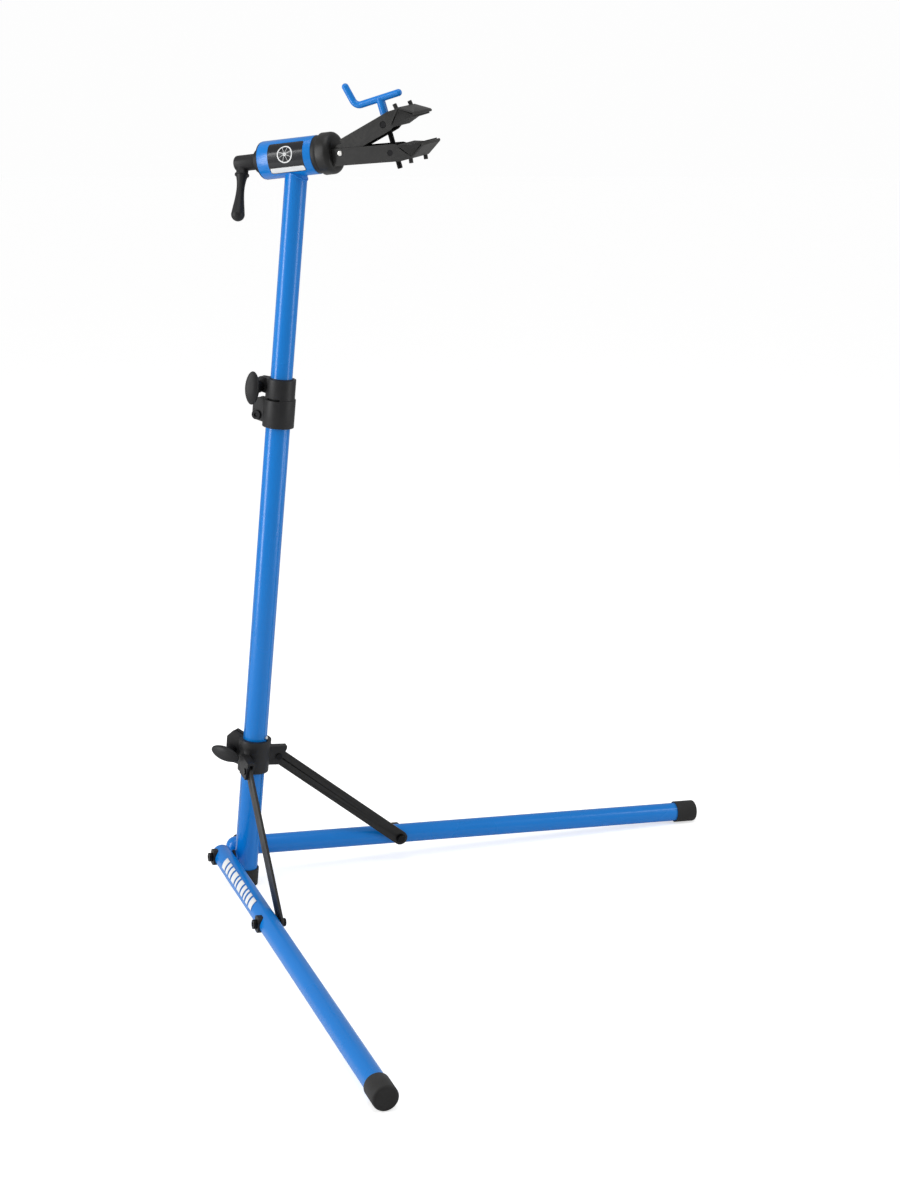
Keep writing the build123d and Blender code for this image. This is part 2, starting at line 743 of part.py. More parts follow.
with BuildPart() as lock_lever:
    rod(head_axis, lever_hub_radius, lever_hub_end, hub_front)
    fillet(outer_edges(-head_axis), lever_hub_round)
    neck_radius, neck_start = lever_neck
    with BuildSketch(facing_side(lever)):
        with BuildLine():
            Polyline(
                (0, 0),
                (neck_radius, 0),
                (neck_radius, neck_start - lever_flange),
                (lever_flange_radius, neck_start - lever_flange),
                (lever_flange_radius, neck_start),
                lever_neck,
            )
            ball = CenterArc((0, lever_length), lever_ball, lever_join - 90, 180 - lever_join)
            Spline(lever_neck, lever_waist, lever_shoulder, ball @ 0)
            Line(ball @ 1, (0, 0))
        make_face()
    revolve(axis=Axis(lever.origin, lever.z_dir))
    rod(head_axis, spigot_radius, bore_end, washer_face, Mode.SUBTRACT)
keep(lock_lever, "lock_lever")

# ---------------------------------------------------------------- clamp body
clamp_axis = facing_front(clamp)
with BuildPart() as clamp_shaft:
    rod(clamp_axis, shaft_radius, washer_face, disc_back + shaft_socket)
    rod(clamp_axis, spigot_radius, bore_end + spigot_gap, washer_face)
keep(clamp_shaft, "clamp_shaft")

with BuildPart() as clamp_body:
    rod(clamp_axis, head_radius, disc_back, disc_back + disc_neck)
    rod(clamp_axis, disc_radius, disc_back + disc_neck, disc_front)
    fillet(outer_edges(clamp_axis), disc_round)
    rod(clamp_axis, shaft_radius, disc_back, disc_back + shaft_socket, Mode.SUBTRACT)
    socket_low = (lower_start, -arm_depth_back)
    socket_high = (0, arm_lip_back + socket_clearance)
    block(facing_side(lower_arm), socket_low, socket_high, -lower_half_width, lower_half_width, Mode.SUBTRACT)
keep(clamp_body, "clamp_body")


# ---------------------------------------------------------------- jaws
def jaw(frame, half_width, start, web_start, pin_hole, trunnion_hole):
    """A pressed channel arm with a wide V-groove plate and a hemmed tip."""
    side_view = facing_side(frame)
    web_end = groove_rear_x - arm_straight
    with BuildPart() as piece:
        with BuildSketch(side_view):
            with BuildLine():
                Polyline(
                    (start, -arm_depth_back),
                    (0, -arm_depth_back),
                    (web_end, -arm_depth),
                    (groove_valley_x - arm_nose, groove_depth - jaw_sheet),
                    groove_valley,
                    groove_rear,
                    (groove_rear_x - arm_lip_end, arm_lip_front),
                    (start, arm_lip_back),
                    close=True,
                )
            make_face()
        extrude(amount=half_width, both=True)
        with BuildSketch(side_view):
            with BuildLine():
                Polyline(
                    (-arm_depth, jaw_sheet - arm_depth_back),
                    (0, jaw_sheet - arm_depth_back),
                    (web_end, jaw_sheet - arm_depth),
                    (groove_rear_x + void_run, void_depth),
                    groove_rear,
                    (groove_rear_x, arm_depth),
                    (-arm_depth, arm_depth),
                    close=True,
                )
            make_face()
        extrude(amount=half_width - jaw_sheet, both=True, mode=Mode.SUBTRACT)
        with BuildSketch(side_view):
            with BuildLine():
                plate = Polyline(groove_rear, groove_valley, groove_tip)
                offset(plate, amount=-jaw_sheet, side=Side.RIGHT)
            make_face()
            with Locations(groove_tip):
                Circle(hem_radius)
        extrude(amount=groove_width / 2, both=True)
        if web_start > start:
            with BuildSketch(side_view):
                with Locations((web_start, 0)):
                    Rectangle(far, far, align=(Align.MAX, Align.CENTER))
                Circle(-start, mode=Mode.SUBTRACT)
            extrude(amount=half_width, both=True, mode=Mode.SUBTRACT)
        rod(side_view, pin_hole, -half_width, half_width, Mode.SUBTRACT)
        trunnion_plane = shifted(side_view, trunnion_x, trunnion_z)
        rod(trunnion_plane, trunnion_hole, -half_width, half_width, Mode.SUBTRACT)
        with BuildSketch(frame.offset(-arm_depth)):
            with Locations((trunnion_slot, 0)):
                SlotOverall(slot_length, slot_width)
        extrude(amount=2 * jaw_sheet, mode=Mode.SUBTRACT)
        with BuildSketch(frame.offset(-arm_depth)):
            with Locations((groove_valley_x - peg_lead, 0)):
                with GridLocations(0, peg_spacing, 1, 2):
                    Circle(peg_radius + running_fit)
        extrude(amount=arm_depth, mode=Mode.SUBTRACT)
    return piece


pin_clear = jaw_pin_radius + running_fit
upper_half_width = lower_half_width - jaw_sheet - jaw_nest_gap
tight_hole = journal_radius + running_fit
loose_hole = journal_radius + loose_fit
lower_jaw = jaw(lower_arm, lower_half_width, lower_start, lower_start, jaw_pin_radius, tight_hole)
keep(lower_jaw, "lower_jaw")
upper_jaw = jaw(upper_arm, upper_half_width, upper_start, upper_web_start, pin_clear, loose_hole)
keep(upper_jaw, "upper_jaw")

pin_end = lower_half_width + jaw_pin_head
with BuildPart() as jaw_pin:
    rod(facing_side(lower_arm), jaw_pin_radius, -pin_end, pin_end)
    fillet(edges().filter_by(GeomType.CIRCLE), jaw_pin_round)
keep(jaw_pin, "jaw_pin")

for title, frame in (("lower", lower_arm), ("upper", upper_arm)):
    side_view = facing_side(frame)
    with BuildPart() as pad:
        with BuildSketch(side_view):
            with BuildLine():
                Polyline(
                    (groove_rear_x + pad_rear_inset, pad_face),
                    (groove_rear_x + pad_rear_inset, groove_rear_height),
                    groove_valley,
                    (groove_tip_x - pad_tip_inset, groove_tip_height),
                    (groove_tip_x - pad_tip_inset, pad_face + pad_tip_rise),
                    (groove_valley_x, pad_face - pad_dish),
                    close=True,
                )
            make_face()
            offset(amount=-pad_skin)
        extrude(amount=groove_width / 2 - pad_side_inset, both=True)
        with BuildSketch(frame.offset(groove_depth - peg_length)):
            with Locations((groove_valley_x - peg_lead, 0)):
                with GridLocations(0, peg_spacing, 1, 2):
                    Circle(peg_radius)
        extrude(amount=peg_length + peg_root)
    keep(pad, f"{title}_pad")

# ---------------------------------------------------------------- screw, trunnions and handle
rod_clear = bolt_radius + running_fit
for title, height, half_width in (("lower", 0, lower_half_width), ("upper", screw_span, upper_half_width)):
    with BuildPart() as trunnion:
        barrel_view = facing_side(shifted(screw, z=height))
        barrel_end = half_width - jaw_sheet - face_gap
        rod(barrel_view, trunnion_radius, -barrel_end, barrel_end)
        rod(barrel_view, journal_radius, journal_inset - half_width, half_width - journal_inset)
        rod(screw, rod_clear, -screw_span, 2 * screw_span, Mode.SUBTRACT)
    keep(trunnion, f"{title}_trunnion")

stem_start = screw_span + trunnion_radius + face_gap
bar_height = stem_start + stem_length
with BuildPart() as threaded_rod:
    rod(screw, bolt_radius, -rod_stub, stem_start + stem_length / 2)
keep(threaded_rod, "threaded_rod")

with BuildPart() as jaw_handle:
    rod(screw, stem_radius, stem_start, bar_height)
    with BuildLine(facing_side(shifted(screw, z=bar_height))) as bar:
        FilletPolyline(
            (handle_front, 0),
            (-handle_back, 0),
            (-handle_back - handle_turn_back, handle_turn_up),
            radius=handle_bend,
        )
    with BuildSketch(Plane(bar.line @ 0, z_dir=bar.line % 0)):
        Circle(handle_radius)
    sweep(path=bar.line)
    for end in (0, 1):
        with Locations(bar.line @ end):
            Sphere(handle_radius)
    rod(screw, bolt_radius, -rod_stub, stem_start + stem_length / 2, Mode.SUBTRACT)
keep(jaw_handle, "jaw_handle")
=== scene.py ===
"""Finishes, fine pieces and a studio for a folding bicycle repair stand.

Laid out as an add-on: the property groups hold what a user would change, each
operator makes one piece or one group of like pieces, and the panel lists them all.
"""

import json
import math

import bmesh
import bpy
from bpy.props import FloatProperty, FloatVectorProperty, IntProperty, PointerProperty
from mathutils import Matrix, Vector


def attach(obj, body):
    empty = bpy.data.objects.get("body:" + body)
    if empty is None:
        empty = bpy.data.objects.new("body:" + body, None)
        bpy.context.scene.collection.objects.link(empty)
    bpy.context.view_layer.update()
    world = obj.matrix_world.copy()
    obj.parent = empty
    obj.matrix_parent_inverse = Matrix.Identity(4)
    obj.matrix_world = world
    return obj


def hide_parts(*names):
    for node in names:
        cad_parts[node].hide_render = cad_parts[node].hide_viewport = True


bl_info = {
    "name": "Bike Repair Stand",
    "version": (1, 0, 0),
    "blender": (4, 5, 0),
    "location": "View3D > Sidebar > Repair Stand",
    "description": "Finishes, fine pieces and studio of a folding bicycle repair stand",
    "category": "Object",
}

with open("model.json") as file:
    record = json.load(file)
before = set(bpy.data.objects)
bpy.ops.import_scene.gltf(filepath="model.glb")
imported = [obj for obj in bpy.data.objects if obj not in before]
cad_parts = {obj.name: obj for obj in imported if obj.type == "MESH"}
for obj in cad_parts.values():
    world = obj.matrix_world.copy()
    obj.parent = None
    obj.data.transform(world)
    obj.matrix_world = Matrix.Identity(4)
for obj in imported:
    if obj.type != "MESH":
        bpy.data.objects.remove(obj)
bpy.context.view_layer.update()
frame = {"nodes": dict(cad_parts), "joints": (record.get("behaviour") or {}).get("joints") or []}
joints = {joint["name"]: joint for joint in frame["joints"]}
MM = 0.001

ENAMELLED = (
    "lower_tube", "pivot_bosses", "upper_tube", "head_tube", "jaw_handle",
    "leg_tube_right", "leg_tube_left", "leg_dome_right", "leg_dome_left",
)
JAW_METAL = ("lower_jaw", "upper_jaw", "clamp_body", "brace_right", "brace_left")
MOULDED = (
    "leg_collar", "height_collar", "tube_bush", "guide_plug", "head_bush_rear", "head_bush_front",
    "pivot_spacers", "pivot_bush_right", "pivot_bush_left", "pivot_saddle_right", "pivot_saddle_left",
    "brace_saddle_right", "brace_saddle_left", "lever_washer", "lock_lever",
)
RUBBER = ("mast_foot", "leg_cap_right", "leg_cap_left", "lower_pad", "upper_pad")
BLACK_FASTENERS = (
    "leg_pivot_bolts", "brace_bolt_right", "brace_bolt_left", "brace_cap_right", "brace_cap_left",
    "height_clamp_screw", "collar_nut", "height_nuts", "brace_pins", "clamp_shaft",
    "lower_trunnion", "upper_trunnion",
)
BRIGHT_FASTENERS = ("guide_rivet", "jaw_pin", "collar_screw", "height_screw")
CUT_TUBES = ("upper_tube", "lower_tube", "head_tube")

# printed pieces: how far each lies off its tube, and how thick it is
LABEL_LIFT, STRIP_LIFT, WHEEL_LIFT = 0.05 * MM, 0.28 * MM, 0.30 * MM
LABEL_THICKNESS = 0.12 * MM
STRIP_INSET = 1.1 * MM
BAR_LIFT, BAR_THICKNESS = 0.04 * MM, 0.1 * MM
BAR_WIDTHS = (16, 11, 11, 16, 7, 16, 11, 7, 11, 16)  # in millimetres, the one nearest the pivot first
BAR_GAP = 6.0 * MM
BAR_UPTURN = 0.95  # upward share of the way the bars face, to one part outward

FLOOR_RADIUS = 30.0
WHITE = (1.0, 1.0, 1.0)


# ---------------------------------------------------------------- what a user may change
def colour(name, description, default):
    """A colour property."""
    return FloatVectorProperty(
        name=name, description=description, subtype="COLOR", size=3, min=0.0, max=1.0, default=default
    )


def length(name, description, default):
    """A length property, in metres."""
    return FloatProperty(name=name, description=description, unit="LENGTH", min=0.0, default=default)


def angle(name, description, degrees):
    """An angle property, given in degrees."""
    return FloatProperty(
        name=name, description=description, subtype="ANGLE", default=math.radians(degrees)
    )


def share(name, description, default):
    """A property from 0 to 1."""
    return FloatProperty(
        name=name, description=description, subtype="FACTOR", min=0.0, max=1.0, default=default
    )


class StandFinishes(bpy.types.PropertyGroup):
    """Colours and wear of the stand's finishes."""

    enamel: colour("Enamel", "Blue gloss enamel of the tubes and the handle", (0.0, 0.20, 0.66))
    jaw_metal: colour("Jaw metal", "Black enamel of the jaws, disc and braces", (0.009, 0.0088, 0.0085))
    nylon: colour("Nylon", "Black moulded nylon of the collars and knobs", (0.009, 0.009, 0.010))
    rubber: colour("Rubber", "Black rubber of the caps, foot and pads", (0.008, 0.0077, 0.0074))
    black_steel: colour("Black steel", "Black oxide of the screws", (0.020, 0.020, 0.021))
    zinc: colour("Zinc", "Zinc plating of the pins and the screw", (0.74, 0.73, 0.70))
    bare: colour("Worn metal", "Metal that shows where the black enamel is rubbed", (0.20, 0.185, 0.165))
    ink: colour("White ink", "White print of the label and the leg's bars", (0.86, 0.87, 0.87))
    film: colour("Label film", "Black ground of the label", (0.012, 0.013, 0.016))
    dust: colour("Dust", "Workshop dust on what faces up", (0.42, 0.40, 0.37))
    wear: share("Wear", "How much the black enamel is rubbed at its edges", 0.07)
    dusting: share("Dusting", "How much dust has settled", 0.015)


class StandPieces(bpy.types.PropertyGroup):
    """Sizes of the pieces made here."""

    thread_lead: length("Thread lead", "Travel of the jaw screw in one turn", 5.0 * MM)
    thread_depth: length("Thread depth", "Depth of the jaw screw's thread", 0.62 * MM)
    thread_starts: IntProperty(name="Thread starts", description="Starts of the jaw screw", min=1, default=3)
    bead_radius: length("Weld bead", "Radius of the weld under the head tube", 1.25 * MM)
    bead_ripples: IntProperty(name="Bead ripples", description="Ripples round the weld bead", default=46)
    paddle_tip: share("Paddle tip", "Thickness at a knob's tips, as a share of its middle", 0.38)
    tube_round: length("Tube round", "Rounding of the tubes' cut ends", 0.4 * MM)
    metal_round: length("Metal round", "Rounding of the jaws' and the braces' edges", 0.5 * MM)
    edge_round: length("Edge round", "Rounding of the moulded pieces' edges", 0.7 * MM)
    rubber_round: length("Rubber round", "Rounding of the rubber pieces' edges", 0.6 * MM)
    fastener_round: length("Fastener round", "Rounding of the screws', nuts' and pins' edges", 0.35 * MM)
    label_corner: length("Label corner", "Rounding of the label's corners", 3.5 * MM)
    strip_height: length("Strip", "Height of the label's pale strip", 10.0 * MM)
    wheel_radius: length("Wheel", "Radius of the wheel printed on the label", 13.0 * MM)
    bar_height: length("Bars", "Height of the bars printed on the leg", 17.0 * MM)
    bars_start: length("Bars start", "Leg pivot to the first printed bar", 50.0 * MM)
    bar_slant: angle("Bar slant", "Slant of the printed bars", 24.0)


class StandStudio(bpy.types.PropertyGroup):
    """Camera, lights and floor."""

    azimuth: angle("Azimuth", "Side of the stand that the camera faces", -64.85)
    elevation: angle("Elevation", "Height of the camera above the horizon", 13.71)
    distance: length("Distance", "Camera to the middle of the view", 3.0)
    aim: FloatVectorProperty(
        name="Aim", description="Middle of the view", subtype="TRANSLATION", size=3,
        default=(0.4382, -0.1348, 0.5568),
    )
    lens: FloatProperty(name="Lens", description="Focal length in millimetres", default=62.31)
    floor: colour("Floor", "Plain pale floor", (0.90, 0.90, 0.90))
    sky: FloatProperty(name="Sky", description="Strength of the surrounding light", default=0.45)
    backdrop: FloatProperty(name="Backdrop", description="Brightness of the plain background", default=0.985)
    glow: FloatProperty(name="Floor glow", description="Light the floor adds for the camera", default=0.58)
    key: FloatProperty(name="Key", description="Power of the tall side light", unit="POWER", default=55.0)
    fill: FloatProperty(name="Fill", description="Power of the other side light", unit="POWER", default=20.0)
    top: FloatProperty(name="Top", description="Power of the light above", unit="POWER", default=16.0)


# ---------------------------------------------------------------- reading the frame
def points_of(node):
    """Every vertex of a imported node, in the row frame."""
    return [vertex.co.copy() for vertex in frame["nodes"][node].data.vertices]


def joint_line(name):
    """The place and the direction of a joint's axis."""
    joint = joints[name]
    return Vector(joint.get("pos_m", (0, 0, 0))), Vector(joint["axis"]).normalized()


def placement(origin, along, near):
    """A frame at origin with its z along a direction and its x towards near."""
    z_axis = along.normalized()
    x_axis = (near - z_axis * near.dot(z_axis)).normalized()
    y_axis = z_axis.cross(x_axis)
    return Matrix.Translation(origin) @ Matrix((x_axis, y_axis, z_axis)).transposed().to_4x4()


def reach(node, origin, direction):
    """Least and greatest distance of a node along a direction."""
    spans = [(point - origin).dot(direction) for point in points_of(node)]
    return min(spans), max(spans)


def outer_radius(node, origin, direction):
    """Greatest distance of a node from an axis."""
    return max(((point - origin).cross(direction)).length for point in points_of(node))


# ---------------------------------------------------------------- making pieces and softening nodes
def piece(name, mesh, body, material, hides=()):
    """A finished mesh as a piece that rides on a body, and stands for the nodes it hides."""
    obj = bpy.data.objects.new(name, mesh)
    bpy.context.scene.collection.objects.link(obj)
    mesh.materials.append(bpy.data.materials[material])
    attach(obj, body)
    if hides:
        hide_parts(*hides)
    return obj


def grid_mesh(name, rows, closed=False):
    """A smooth mesh through equal rows of points; closed joins each row's last point to its first."""
    mesh = bmesh.new()
    table = [[mesh.verts.new(point) for point in row] for row in rows]
    for lower, upper in zip(table, table[1:]):
        count = len(lower) if closed else len(lower) - 1
        for i in range(count):
            j = (i + 1) % len(lower)
            mesh.faces.new((lower[i], lower[j], upper[j], upper[i]))
    if closed:
        mesh.faces.new(list(reversed(table[0])))
        mesh.faces.new(table[-1])
    bmesh.ops.recalc_face_normals(mesh, faces=mesh.faces[:])
    return to_data(name, mesh)


def ring(local, radii, height):
    """Points evenly round the placement's z axis, one at each of the radii."""
    row = []
    for side, radius in enumerate(radii):
        turn = math.tau * side / len(radii)
        row.append(local @ Vector((radius * math.cos(turn), radius * math.sin(turn), height)))
    return row


def to_data(name, mesh):
    """Turns a bmesh into smooth mesh data."""
    for face in mesh.faces:
        face.smooth = True
    data = bpy.data.meshes.new(name)
    mesh.to_mesh(data)
    mesh.free()
    return data


def thicken(obj, thickness):
    """Gives a sheet its thickness, outwards."""
    solid = obj.modifiers.new("thickness", "SOLIDIFY")
    solid.thickness = thickness
    solid.offset = 1.0


def soften(nodes, width, sharp=35.0):
    """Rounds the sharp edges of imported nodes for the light, without changing their meshes."""
    for node in nodes:
        obj = frame["nodes"][node]
        weld = obj.modifiers.new("joined", "WELD")
        weld.merge_threshold = 0.01 * MM
        bevel = obj.modifiers.new("rounded", "BEVEL")
        bevel.width = width
        bevel.segments = 2
        bevel.limit_method = "ANGLE"
        bevel.angle_limit = math.radians(sharp)


def coat(nodes, material):
    """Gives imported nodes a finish."""
    for node in nodes:
        slots = frame["nodes"][node].data.materials
        slots.clear()
        slots.append(bpy.data.materials[material])


# ---------------------------------------------------------------- shader building
def add(tree, kind, settings=(), inputs=()):
    """A node with its settings made and its inputs set or linked."""
    node = tree.nodes.new(kind)
    for title, value in dict(settings).items():
        setattr(node, title, value)
    for title, value in dict(inputs).items():
        if isinstance(value, bpy.types.NodeSocket):
            tree.links.new(value, node.inputs[title])
        else:
            node.inputs[title].default_value = value
    return node


def maths(tree, operation, first, second=0.0, third=0.0):
    """The result of one sum on two or three values."""
    return add(tree, "ShaderNodeMath", {"operation": operation}, {0: first, 1: second, 2: third}).outputs[0]


def blend_colours(tree, factor, first, second):
    """One colour over another by a mask."""
    # the Mix node has a Factor, an A and a B for each kind of value: these are the colours' places
    inputs = {0: factor, 6: first, 7: second}
    return add(tree, "ShaderNodeMix", {"data_type": "RGBA"}, inputs).outputs[2]


def ramp(tree, value, low, high, start=0.0, end=1.0):
    """Spreads a value from low..high to start..end, and holds it there."""
    node = add(
        tree, "ShaderNodeMapRange", {"clamp": True},
        {"Value": value, "From Min": low, "From Max": high, "To Min": start, "To Max": end},
    )
    return node.outputs["Result"]


def noise(tree, scale, detail=4.0, roughness=0.55, vector=None):
    """Noise fixed to the object."""
    if vector is None:
        vector = add(tree, "ShaderNodeTexCoord").outputs["Object"]
    inputs = {"Vector": vector, "Scale": scale, "Detail": detail, "Roughness": roughness}
    return add(tree, "ShaderNodeTexNoise", {}, inputs).outputs["Fac"]


def group(name, inputs, outputs):
    """An empty shader group with named inputs, each with its default, and named outputs."""
    tree = bpy.data.node_groups.new(name, "ShaderNodeTree")
    for title, kind, value in inputs:
        socket = tree.interface.new_socket(title, in_out="INPUT", socket_type=kind)
        socket.default_value = value
    for title, kind in outputs:
        tree.interface.new_socket(title, in_out="OUTPUT", socket_type=kind)
    return tree, tree.nodes.new("NodeGroupInput").outputs, tree.nodes.new("NodeGroupOutput").inputs


def place(tree, name, inputs):
    """A shader group placed in a material with its own values."""
    return add(tree, "ShaderNodeGroup", {"node_tree": bpy.data.node_groups[name]}, inputs).outputs


def build_groups():
    """The effects that several finishes share."""
    tree, given, result = group(
        "Paint Flow",
        (("Scale", "NodeSocketFloat", 900.0), ("Depth", "NodeSocketFloat", 0.1 * MM)),
        (("Height", "NodeSocketFloat"), ("Shade", "NodeSocketFloat")),
    )
    ripple = noise(tree, given["Scale"], 2.0)
    drift = noise(tree, 9.0, 2.0)
    tree.links.new(maths(tree, "MULTIPLY", ripple, given["Depth"]), result["Height"])
    tree.links.new(drift, result["Shade"])

    tree, given, result = group(
        "Moulded Grain",
        (("Scale", "NodeSocketFloat", 1800.0), ("Depth", "NodeSocketFloat", 0.1 * MM)),
        (("Height", "NodeSocketFloat"), ("Shade", "NodeSocketFloat")),
    )
    coordinates = add(tree, "ShaderNodeTexCoord").outputs["Object"]
    cells = add(tree, "ShaderNodeTexVoronoi", {}, {"Vector": coordinates, "Scale": given["Scale"]})
    grit = noise(tree, maths(tree, "MULTIPLY", given["Scale"], 0.4), 3.0)
    mixed = maths(tree, "ADD", cells.outputs["Distance"], grit)
    tree.links.new(maths(tree, "MULTIPLY", mixed, given["Depth"]), result["Height"])
    tree.links.new(ramp(tree, noise(tree, 60.0, 5.0), 0.3, 0.7), result["Shade"])

    tree, given, result = group(
        "Rubbed Edges",
        (("Amount", "NodeSocketFloat", 0.4), ("Scale", "NodeSocketFloat", 160.0)),
        (("Mask", "NodeSocketFloat"),),
    )
    edge = add(tree, "ShaderNodeNewGeometry").outputs["Pointiness"]
    patchy = noise(tree, given["Scale"], 6.0, 0.7)
    ridge = ramp(tree, edge, 0.505, 0.56)
    broken = ramp(tree, patchy, 0.42, 0.62)
    rubbed = maths(tree, "MULTIPLY", ridge, broken)
    tree.links.new(maths(tree, "MULTIPLY", rubbed, given["Amount"]), result["Mask"])

    tree, given, result = group(
        "Fine Scratches",
        (("Amount", "NodeSocketFloat", 0.3), ("Scale", "NodeSocketFloat", 60.0)),
        (("Mask", "NodeSocketFloat"),),
    )
    coordinates = add(tree, "ShaderNodeTexCoord").outputs["Object"]
    runs = []
    for turn, stretch in ((0.5, (1.0, 14.0, 14.0)), (1.9, (13.0, 1.0, 13.0))):
        mapping = add(
            tree, "ShaderNodeMapping", {},
            {"Vector": coordinates, "Rotation": (turn, turn * 1.7, turn * 0.6), "Scale": stretch},
        )
        streak = noise(tree, given["Scale"], 3.0, 0.6, mapping.outputs["Vector"])
        runs.append(ramp(tree, streak, 0.66, 0.72))
    crossed = maths(tree, "MAXIMUM", *runs)
    tree.links.new(maths(tree, "MULTIPLY", crossed, given["Amount"]), result["Mask"])

    tree, given, result = group(
        "Settled Dust",
        (("Amount", "NodeSocketFloat", 0.2), ("Scale", "NodeSocketFloat", 220.0)),
        (("Mask", "NodeSocketFloat"),),
    )
    normal = add(tree, "ShaderNodeTexCoord").outputs["Normal"]
    facing_up = add(tree, "ShaderNodeSeparateXYZ", {}, {"Vector": normal}).outputs["Z"]
    lying = ramp(tree, facing_up, 0.35, 1.0)
    specks = ramp(tree, noise(tree, given["Scale"], 7.0, 0.7), 0.38, 0.72)
    settled = maths(tree, "MULTIPLY", lying, specks)
    tree.links.new(maths(tree, "MULTIPLY", settled, given["Amount"]), result["Mask"])


def finish(name, constants, build):
    """A material: constants go on the shader's own sockets, build links what varies."""
    material = bpy.data.materials.new(name)
    material.use_nodes = True
    tree = material.node_tree
    shader = tree.nodes["Principled BSDF"]
    for title, value in constants.items():
        shader.inputs[title].default_value = value
    for title, value in build(tree).items():
        tree.links.new(value, shader.inputs[title])
    return material


def bump(tree, height, distance=1.0, strength=1.0):
    """A normal from a height in metres."""
    inputs = {"Height": height, "Distance": distance, "Strength": strength}
    return add(tree, "ShaderNodeBump", {}, inputs).outputs["Normal"]


def opaque(values):
    """A colour with full alpha."""
    return (*values, 1.0)


def dusted(tree, look, paint, amount=1.0):
    """A colour with the settled dust over it, and the dust's mask."""
    mask = place(tree, "Settled Dust", {"Amount": look.dusting * amount, "Scale": 240.0})["Mask"]
    return blend_colours(tree, mask, paint, opaque(look.dust)), mask


def shaded(tree, values, amount, factor):
    """A colour that drifts a little darker and lighter over the surface."""
    dark = opaque([value * (1 - amount) for value in values])
    light = opaque([min(1.0, value * (1 + amount)) for value in values])
    return blend_colours(tree, factor, dark, light)


def roughened(tree, rough, mask, amount):
    """A roughness with some added where a mask is."""
    return maths(tree, "MULTIPLY_ADD", mask, amount, rough)


def enamel_finish(look):
    """Gloss enamel over steel tube: even colour, a slight ripple and a clear coat."""
    def build(tree):
        flow = place(tree, "Paint Flow", {"Scale": 420.0, "Depth": 0.01 * MM})
        scratches = place(tree, "Fine Scratches", {"Amount": look.wear, "Scale": 55.0})["Mask"]
        paint = shaded(tree, look.enamel, 0.06, flow["Shade"])
        paint, dust = dusted(tree, look, paint, 0.5)
        rough = roughened(tree, ramp(tree, flow["Shade"], 0.3, 0.7, 0.24, 0.32), dust, 0.4)
        rough = roughened(tree, rough, scratches, 0.2)
        return {"Base Color": paint, "Roughness": rough, "Normal": bump(tree, flow["Height"])}

    finish("blue enamel", {"Coat Weight": 0.2, "Coat Roughness": 0.12, "IOR": 1.4}, build)


def jaw_finish(look):
    """Semi-gloss black enamel on pressed and cast metal, rubbed at its edges."""
    def build(tree):
        grain = place(tree, "Moulded Grain", {"Scale": 1400.0, "Depth": 0.012 * MM})
        edges = place(tree, "Rubbed Edges", {"Amount": look.wear, "Scale": 170.0})["Mask"]
        scratches = place(tree, "Fine Scratches", {"Amount": look.wear, "Scale": 90.0})["Mask"]
        paint = shaded(tree, look.jaw_metal, 0.25, grain["Shade"])
        worn = maths(tree, "MAXIMUM", edges, scratches)
        paint, dust = dusted(tree, look, blend_colours(tree, worn, paint, opaque(look.bare)))
        rough = roughened(tree, ramp(tree, grain["Shade"], 0.0, 1.0, 0.36, 0.48), dust, 0.5)
        metal = maths(tree, "MULTIPLY", worn, 0.7)
        return {
            "Base Color": paint, "Roughness": rough, "Metallic": metal, "Normal": bump(tree, grain["Height"])
        }

    finish("black enamel", {"IOR": 1.42}, build)


def nylon_finish(look):
    """Moulded nylon with a fine spark-eroded grain."""
    def build(tree):
        grain = place(tree, "Moulded Grain", {"Scale": 2200.0, "Depth": 0.02 * MM})
        edges = place(tree, "Rubbed Edges", {"Amount": look.wear * 0.6, "Scale": 120.0})["Mask"]
        plastic = shaded(tree, look.nylon, 0.2, grain["Shade"])
        polished = opaque([value * 2.2 for value in look.nylon])
        plastic, dust = dusted(tree, look, blend_colours(tree, edges, plastic, polished))
        rough = roughened(tree, ramp(tree, grain["Shade"], 0.0, 1.0, 0.44, 0.56), edges, -0.3)
        rough = roughened(tree, rough, dust, 0.5)
        return {"Base Color": plastic, "Roughness": rough, "Normal": bump(tree, grain["Height"])}

    finish("black nylon", {"IOR": 1.42}, build)


def rubber_finish(look):
    """Soft black rubber, matt and a little chalky."""
    def build(tree):
        grain = place(tree, "Moulded Grain", {"Scale": 1500.0, "Depth": 0.03 * MM})
        scuffs = place(tree, "Fine Scratches", {"Amount": look.wear * 2.0, "Scale": 70.0})["Mask"]
        chalk = opaque([value * 3.0 for value in look.rubber])
        skin = blend_colours(tree, scuffs, shaded(tree, look.rubber, 0.25, grain["Shade"]), chalk)
        skin, dust = dusted(tree, look, skin, 1.5)
        rough = ramp(tree, grain["Shade"], 0.0, 1.0, 0.68, 0.86)
        return {"Base Color": skin, "Roughness": rough, "Normal": bump(tree, grain["Height"])}

    finish("black rubber", {"IOR": 1.52, "Sheen Weight": 0.05, "Sheen Roughness": 0.5}, build)


